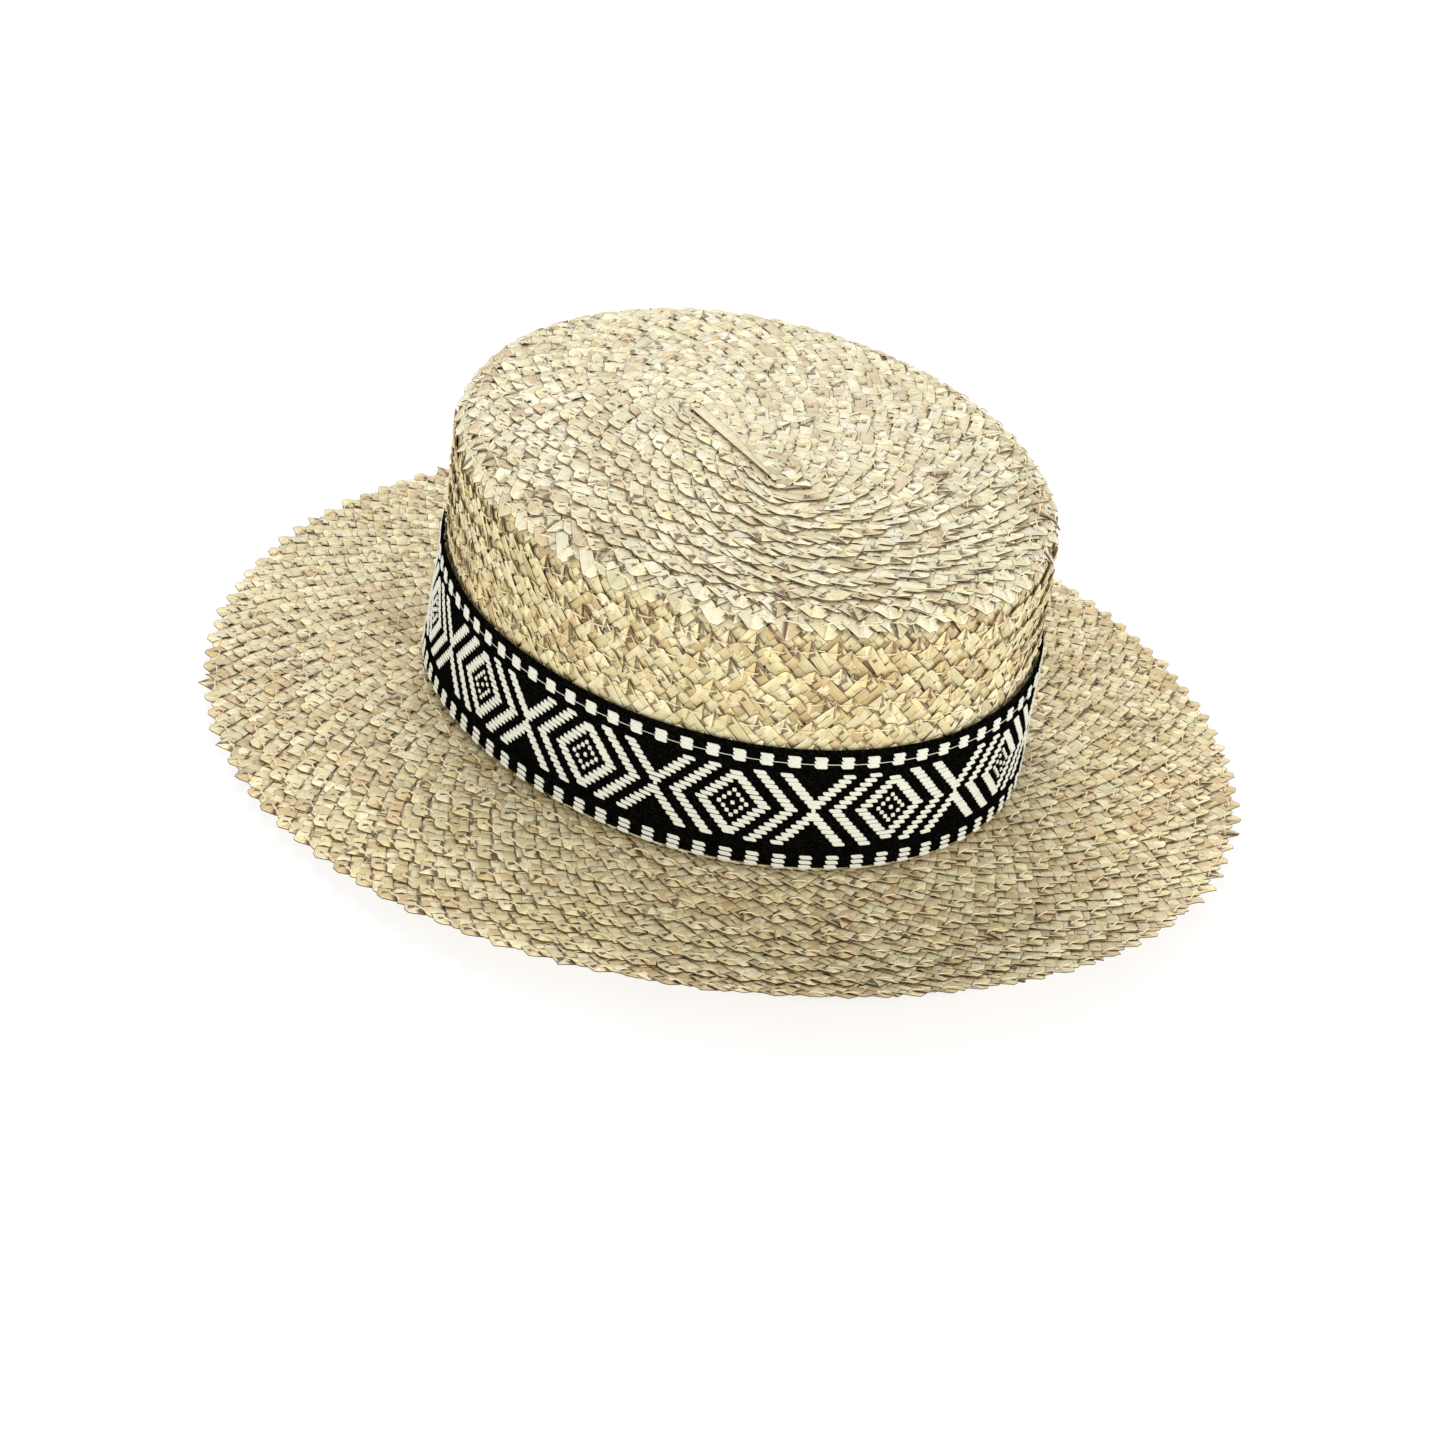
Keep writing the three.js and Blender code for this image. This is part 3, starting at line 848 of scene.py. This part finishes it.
def shader_node(tree, kind, inputs=None, **settings):
    """Adds a node, sets its options, and fills its sockets with values or links."""
    made = tree.nodes.new(kind)
    for key, value in settings.items():
        setattr(made, key, value)
    for key, value in (inputs or {}).items():
        if isinstance(value, bpy.types.NodeSocket):
            tree.links.new(value, made.inputs[key])
        else:
            made.inputs[key].default_value = value
    return made


def maths_of(tree, kind, first, second=0.0):
    """Output of a maths node."""
    return shader_node(tree, "ShaderNodeMath", {0: first, 1: second}, operation=kind).outputs[0]


def product_of(tree, first, *others):
    """Output of a chain of multiply nodes."""
    for other in others:
        first = maths_of(tree, "MULTIPLY", first, other)
    return first


def total_of(tree, first, *others):
    """Output of a chain of add nodes."""
    for other in others:
        first = maths_of(tree, "ADD", first, other)
    return first


def blend_of(tree, kind, factor, first, second):
    """Output of a colour mix node."""
    made = shader_node(
        tree, "ShaderNodeMix", {0: factor, 6: first, 7: second}, data_type="RGBA", blend_type=kind,
    )
    return made.outputs[2]


def range_of(tree, value, low, high, out_low, out_high, kind="LINEAR"):
    """Output of a map range node."""
    inputs = {0: value, 1: low, 2: high, 3: out_low, 4: out_high}
    return shader_node(tree, "ShaderNodeMapRange", inputs, interpolation_type=kind).outputs[0]


def noise_of(tree, place, scale, detail=2.0):
    """Output of a noise texture."""
    inputs = {"Vector": place, "Scale": scale, "Detail": detail}
    return shader_node(tree, "ShaderNodeTexNoise", inputs).outputs[0]


def spread_of(tree, noise, out_low, out_high):
    """A noise, whose values lie mostly between 0.3 and 0.7, spread from out_low to out_high."""
    return range_of(tree, noise, 0.3, 0.7, out_low, out_high)


def place_of(tree):
    """Output with the place of each point on its own object."""
    return shader_node(tree, "ShaderNodeTexCoord").outputs["Object"]


def parts_of(tree, vector):
    """The three outputs of a vector's parts."""
    return shader_node(tree, "ShaderNodeSeparateXYZ", {0: vector}).outputs


def facts_of(tree, name):
    """The three outputs of the facts that a mesh's points hold under a name."""
    return parts_of(tree, shader_node(tree, "ShaderNodeAttribute", attribute_name=name).outputs["Vector"])


def vector_of(tree, x, y, z=0.0):
    """Output of a vector with these parts."""
    return shader_node(tree, "ShaderNodeCombineXYZ", {0: x, 1: y, 2: z}).outputs[0]


def new_finish(name):
    """An empty material with a Principled shader and an output."""
    finish = bpy.data.materials.new(name)
    finish.use_nodes = True
    tree = finish.node_tree
    tree.nodes.clear()
    shader = tree.nodes.new("ShaderNodeBsdfPrincipled")
    output = tree.nodes.new("ShaderNodeOutputMaterial")
    tree.links.new(shader.outputs[0], output.inputs[0])
    return finish, tree, shader


def add_relief(tree, shader, height, strength, distance):
    """Gives a shader the small relief that a height describes."""
    inputs = {"Height": height, "Strength": strength, "Distance": distance}
    tree.links.new(shader_node(tree, "ShaderNodeBump", inputs).outputs[0], shader.inputs["Normal"])


def add_thread_colour(tree, shader, share, colour, darkest):
    """Colours a shader between a dark shade of a thread's colour, where share is 0, and the colour itself."""
    dark = [channel * darkest for channel in colour]
    shade = blend_of(tree, "MIX", share, (*dark, 1.0), (*colour, 1.0))
    tree.links.new(shade, shader.inputs["Base Color"])


def straw_tone(tree, value, shares, tint):
    """Output of a ramp through the five tones of straw, each as wide as its share."""
    colours = bpy.context.scene.hat_colours
    ramp = shader_node(tree, "ShaderNodeValToRGB", {0: value})
    palette = (colours.cream, colours.golden, colours.green, colours.rosy, colours.tan)
    stops = ramp.color_ramp.elements
    while len(stops) < len(palette):
        stops.new(0.5)
    reached = 0.0
    for stop, share, colour in zip(stops, shares, palette):
        stop.position = reached + share / 2
        stop.color = (*[channel * part for channel, part in zip(colour, tint)], 1.0)
        reached += share
    return ramp.outputs[0]


def straw_finish(name, shares, tint, painted_shade_strength):
    """Straw: a tone for each splint, streaks along its grain, a slow drift over the hat, painted highlights on
    the folds and near a straw's edges, and painted shade along its edges and where it dives under others.

    shares gives how much of the plait is cream, golden, green, rosy and tan, tint colours the whole, and the
    last argument says how dark the painted shade is along a straw's edges and where it dives under others.
    """
    finish, tree, shader = new_finish(name)
    along, across, height = facts_of(tree, "grain")
    tone, leg, fold_highlight = facts_of(tree, "straw")
    place = place_of(tree)
    edge = maths_of(tree, "ABSOLUTE", across)

    drift = spread_of(tree, noise_of(tree, place, 55.0), -0.16, 0.16)
    coloured = straw_tone(tree, total_of(tree, tone, drift), shares, tint)

    streaks = noise_of(
        tree, vector_of(tree, product_of(tree, along, 90.0), product_of(tree, across, 3.0)), 1.6, 3.0,
    )
    # Painted highlights: a fold's face and a rim inside each straw's edges are made paler; the streaks,
    # blotches and a tone for each leg vary at random.
    light = product_of(
        tree,
        spread_of(tree, streaks, 0.9, 1.07),
        spread_of(tree, noise_of(tree, place, 420.0), 0.9, 1.08),
        range_of(tree, leg, -2.0, 2.0, 0.84, 1.12),
        range_of(tree, fold_highlight, 0.0, 1.0, 0.94, 1.1),
        range_of(tree, edge, 0.6, 0.84, 1.0, 1.1, "SMOOTHSTEP"),
    )
    coloured = blend_of(tree, "MULTIPLY", 1.0, coloured, vector_of(tree, light, light, light))

    # Painted shade: a dark brown laid where a straw dives under others and along its edges, as strong as the
    # last argument says.
    dives = range_of(tree, height, -0.5, 0.3, 0.9, 0.0, "SMOOTHSTEP")
    ends = range_of(tree, edge, 0.87, 1.0, 0.0, 1.0, "SMOOTHSTEP")
    painted_shade = product_of(tree, maths_of(tree, "MAXIMUM", dives, ends), painted_shade_strength)
    coloured = blend_of(tree, "MULTIPLY", painted_shade, coloured, (0.13, 0.07, 0.03, 1.0))
    tree.links.new(coloured, shader.inputs["Base Color"])
    tree.links.new(spread_of(tree, streaks, 0.62, 0.44), shader.inputs["Roughness"])
    shader.inputs["Specular IOR Level"].default_value = 0.45
    shader.inputs["Sheen Weight"].default_value = 0.05

    relief = total_of(
        tree,
        maths_of(tree, "SUBTRACT", 1.0, product_of(tree, across, across)),
        product_of(tree, height, 0.5),
        product_of(tree, streaks, 0.3),
        product_of(tree, noise_of(tree, place, 750.0), 0.4),
    )
    add_relief(tree, shader, relief, 1.0, 0.00035)
    return finish


def seam_finish():
    """Sewing thread: a fine twist along a golden thread."""
    finish, tree, shader = new_finish("seam_thread")
    fibre = noise_of(tree, place_of(tree), 900.0)
    add_thread_colour(tree, shader, fibre, bpy.context.scene.hat_colours.seam, 0.75)
    shader.inputs["Roughness"].default_value = 0.5
    shader.inputs["Sheen Weight"].default_value = 0.2
    return finish


def cloth_finish():
    """Black band cloth: here and there a raised grey speck where a warp thread shows, in staggered rows."""
    finish, tree, shader = new_finish("band_cloth")
    arc, height, _ = facts_of(tree, "cloth")
    column = product_of(tree, arc, 1 / SPECK_WIDTH)
    row = product_of(tree, height, 1 / SPECK_HEIGHT)
    odd_row = maths_of(tree, "FLOORED_MODULO", maths_of(tree, "FLOOR", row), 2.0)
    column = total_of(tree, column, product_of(tree, odd_row, 0.5))
    cell = vector_of(tree, maths_of(tree, "FLOOR", column), maths_of(tree, "FLOOR", row))
    chance = shader_node(tree, "ShaderNodeTexWhiteNoise", {"Vector": cell}, noise_dimensions="3D").outputs[0]
    in_x = maths_of(tree, "SUBTRACT", maths_of(tree, "FRACT", column), 0.5)
    in_y = maths_of(tree, "SUBTRACT", maths_of(tree, "FRACT", row), 0.5)
    squared = total_of(tree, product_of(tree, in_x, in_x), product_of(tree, in_y, in_y))
    dot = range_of(tree, squared, 0.03, 0.16, 1.0, 0.0, "SMOOTHSTEP")
    speck = product_of(tree, dot, range_of(tree, chance, 0.45, 1.0, 0.0, 0.8))
    ground = (*bpy.context.scene.hat_colours.cloth, 1.0)
    shade = blend_of(tree, "MIX", speck, ground, (0.016, 0.016, 0.014, 1.0))
    tree.links.new(shade, shader.inputs["Base Color"])
    shader.inputs["Roughness"].default_value = 0.9
    shader.inputs["Specular IOR Level"].default_value = 0.0
    add_relief(tree, shader, dot, 0.6, 0.0001)
    return finish


def figure_finish():
    """Pale bars: soft spun thread with fibres along each bar."""
    finish, tree, shader = new_finish("band_figure")
    x, across, seed = facts_of(tree, "strand")
    spun = vector_of(
        tree, product_of(tree, x, 500.0), product_of(tree, across, 2.5), product_of(tree, seed, 80.0),
    )
    fibre = noise_of(tree, spun, 2.0, 3.0)
    share = spread_of(tree, fibre, 0.0, 1.0)
    add_thread_colour(tree, shader, share, bpy.context.scene.hat_colours.figure, 0.78)
    shader.inputs["Roughness"].default_value = 0.75
    shader.inputs["Sheen Weight"].default_value = 0.25
    add_relief(tree, shader, fibre, 0.5, 0.0001)
    return finish


def floor_finish():
    """Pale floor whose glow is painted light, like a light table, apart from the oval that the hat covers,
    which gets no glow and so holds a painted shadow.
    """
    finish, tree, shader = new_finish("floor")
    x, y, _ = parts_of(tree, place_of(tree))
    across = maths_of(tree, "DIVIDE", x, HEAD_HALF_WIDTH + BRIM_WIDTH)
    along = maths_of(tree, "DIVIDE", y, HEAD_HALF_LENGTH + BRIM_WIDTH)
    squared = total_of(tree, product_of(tree, across, across), product_of(tree, along, along))
    out = maths_of(tree, "POWER", squared, 0.5)
    painted_glow = range_of(tree, out, 0.81, 0.92, 0.0, FLOOR_PAINTED_GLOW, "SMOOTHSTEP")
    shader.inputs["Base Color"].default_value = (*bpy.context.scene.hat_colours.floor, 1.0)
    shader.inputs["Emission Color"].default_value = (1.0, 1.0, 1.0, 1.0)
    tree.links.new(painted_glow, shader.inputs["Emission Strength"])
    shader.inputs["Roughness"].default_value = 0.9
    shader.inputs["Specular IOR Level"].default_value = 0.1
    return finish


def all_rows(count, skin, tooth_pitch, span, reach, tooth_lift, way):
    """The rows of one part of the hat, by number from 1."""
    return {
        number: Row(skin, number, tooth_pitch, span, reach, tooth_lift, way) for number in range(1, count + 1)
    }


class HAT_OT_tip(bpy.types.Operator):
    """Plait the tip of the crown from the slit out and over the shoulder"""

    bl_idname = "hat.tip"
    bl_label = "Crown tip"

    def execute(self, context):
        plait = context.scene.hat_plait
        finish = straw_finish(
            "straw_tip", shares=(0.40, 0.26, 0.12, 0.12, 0.10), tint=(0.94, 0.95, 0.99), painted_shade_strength=0.95,
        )
        rows = all_rows(
            TIP_ROWS, tip_skin, plait.tip_tooth_pitch, plait.tip_fold_span, plait.flat_tooth_reach,
            plait.flat_tooth_lift, way=-1,
        )
        piece = plaited_piece(
            "tip_plait", plait, rows, tip_lift, finish, blunt_share=0.85, long_share=0.1, seed=5,
        )
        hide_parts("crown_tip")
        seams = seam_piece("tip_seams", plait, rows, tip_lift, bpy.data.materials["seam_thread"], seed=6)
        slit_straw(plait, finish)
        return {"FINISHED"}


class HAT_OT_side(bpy.types.Operator):
    """Plait the side of the crown from the brim up to the tip"""

    bl_idname = "hat.side"
    bl_label = "Crown side"

    def execute(self, context):
        plait = context.scene.hat_plait
        finish = straw_finish(
            "straw_side", shares=(0.36, 0.26, 0.10, 0.12, 0.16), tint=(0.96, 0.93, 0.85), painted_shade_strength=0.85,
        )
        rows = all_rows(
            WALL_ROWS, side_skin, plait.tooth_pitch, plait.fold_span, plait.tooth_reach, plait.tooth_lift,
            way=1,
        )
        piece = plaited_piece(
            "side_plait", plait, rows, side_lift, finish, blunt_share=0.6, long_share=0.1, seed=11,
        )
        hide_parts("crown_side")
        seams = seam_piece("side_seams", plait, rows, side_lift, bpy.data.materials["seam_thread"], seed=12)
        return {"FINISHED"}


class HAT_OT_brim(bpy.types.Operator):
    """Plait the brim from the crown out to the rim"""

    bl_idname = "hat.brim"
    bl_label = "Brim"

    def execute(self, context):
        plait = context.scene.hat_plait
        finish = straw_finish(
            "straw_brim", shares=(0.28, 0.22, 0.10, 0.22, 0.18), tint=(0.99, 0.96, 0.90), painted_shade_strength=1.0,
        )
        rows = all_rows(
            BRIM_ROWS, brim_skin, plait.brim_tooth_pitch, plait.brim_fold_span, plait.flat_tooth_reach,
            plait.flat_tooth_lift, way=-1,
        )
        piece = plaited_piece(
            "brim_plait", plait, rows, brim_lift, finish, blunt_share=0.9, long_share=0.0, seed=17,
        )
        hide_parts("brim")
        seams = seam_piece("brim_seams", plait, rows, brim_lift, bpy.data.materials["seam_thread"], seed=18)
        return {"FINISHED"}


class HAT_OT_band(bpy.types.Operator):
    """Wrap the woven band round the crown, with its raised pale figure"""

    bl_idname = "hat.band"
    bl_label = "Hat band"

    def execute(self, context):
        band = context.scene.hat_band
        arcs = band_arcs()
        cloth = band_cloth(band, arcs, cloth_finish())
        figure = band_bars(band, arcs, figure_finish())
        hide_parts("hat_band")
        return {"FINISHED"}


class HAT_OT_threads(bpy.types.Operator):
    """Make the finish of the sewing thread that every plaited part uses"""

    bl_idname = "hat.threads"
    bl_label = "Sewing thread"

    def execute(self, context):
        seam_finish()
        return {"FINISHED"}


def aimed_camera():
    """The camera of the photograph: its place, the way it looks, and its roll."""
    forward = Vector(CAMERA_FORWARD).normalized()
    up = Vector(CAMERA_UP).normalized()
    right = forward.cross(up).normalized()
    up = right.cross(forward)
    turned = Matrix((right, up, -forward)).transposed().to_4x4()
    data = bpy.data.cameras.new("camera")
    data.lens = CAMERA_LENS
    data.sensor_width = 36.0
    data.clip_start = 0.01
    camera = bpy.data.objects.new("camera", data)
    camera.matrix_world = Matrix.Translation(CAMERA_PLACE) @ turned
    return camera


def soft_light(name, place, size, power, colour):
    """A square area light that faces the hat."""
    data = bpy.data.lights.new(name, "AREA")
    data.size = size
    data.energy = power
    data.color = colour
    light = bpy.data.objects.new(name, data)
    light.location = place
    way = Vector(LIGHT_AIM) - Vector(place)
    light.rotation_euler = way.to_track_quat("-Z", "Y").to_euler()
    return light


class HAT_OT_stage(bpy.types.Operator):
    """Set up the pale floor, the soft light and the camera"""

    bl_idname = "hat.stage"
    bl_label = "Stage"

    def execute(self, context):
        scene = context.scene
        link = scene.collection.objects.link
        mesh = bpy.data.meshes.new("floor")
        mesh.from_pydata(FLOOR_CORNERS, [], [(0, 1, 2, 3)])
        floor = bpy.data.objects.new("floor", mesh)
        link(floor)
        mesh.materials.append(floor_finish())

        world = bpy.data.worlds.new("studio")
        world.use_nodes = True
        background = world.node_tree.nodes["Background"]
        background.inputs["Color"].default_value = (1.0, 1.0, 1.0, 1.0)
        background.inputs["Strength"].default_value = WORLD_STRENGTH
        scene.world = world
        for light in SOFT_LIGHTS:
            link(soft_light(*light))
        scene.view_settings.view_transform = "Standard"
        camera = aimed_camera()
        link(camera)
        scene.camera = camera
        return {"FINISHED"}


class HAT_PT_panel(bpy.types.Panel):
    """Sizes, colours and the steps that build the hat"""

    bl_idname = "HAT_PT_panel"
    bl_label = "Straw boater hat"
    bl_space_type = "VIEW_3D"
    bl_region_type = "UI"
    bl_category = "Hat"

    def draw(self, context):
        layout = self.layout
        for group in (context.scene.hat_plait, context.scene.hat_band, context.scene.hat_colours):
            box = layout.box()
            for name in group.__annotations__:
                box.prop(group, name)
        for operator in STEPS:
            layout.operator(operator.bl_idname)


STEPS = (HAT_OT_threads, HAT_OT_tip, HAT_OT_side, HAT_OT_brim, HAT_OT_band, HAT_OT_stage)
GROUPS = (("hat_plait", HatPlait), ("hat_band", HatBand), ("hat_colours", HatColours))


def register():
    for name, group in GROUPS:
        bpy.utils.register_class(group)
        setattr(bpy.types.Scene, name, PointerProperty(type=group))
    for operator in STEPS:
        bpy.utils.register_class(operator)
    bpy.utils.register_class(HAT_PT_panel)


def unregister():
    bpy.utils.unregister_class(HAT_PT_panel)
    for operator in reversed(STEPS):
        bpy.utils.unregister_class(operator)
    for name, group in reversed(GROUPS):
        delattr(bpy.types.Scene, name)
        bpy.utils.unregister_class(group)


def main():
    register()
    bpy.ops.hat.threads()
    bpy.ops.hat.tip()
    bpy.ops.hat.side()
    bpy.ops.hat.brim()
    bpy.ops.hat.band()
    bpy.ops.hat.stage()


if __name__ == "__main__":
    main()
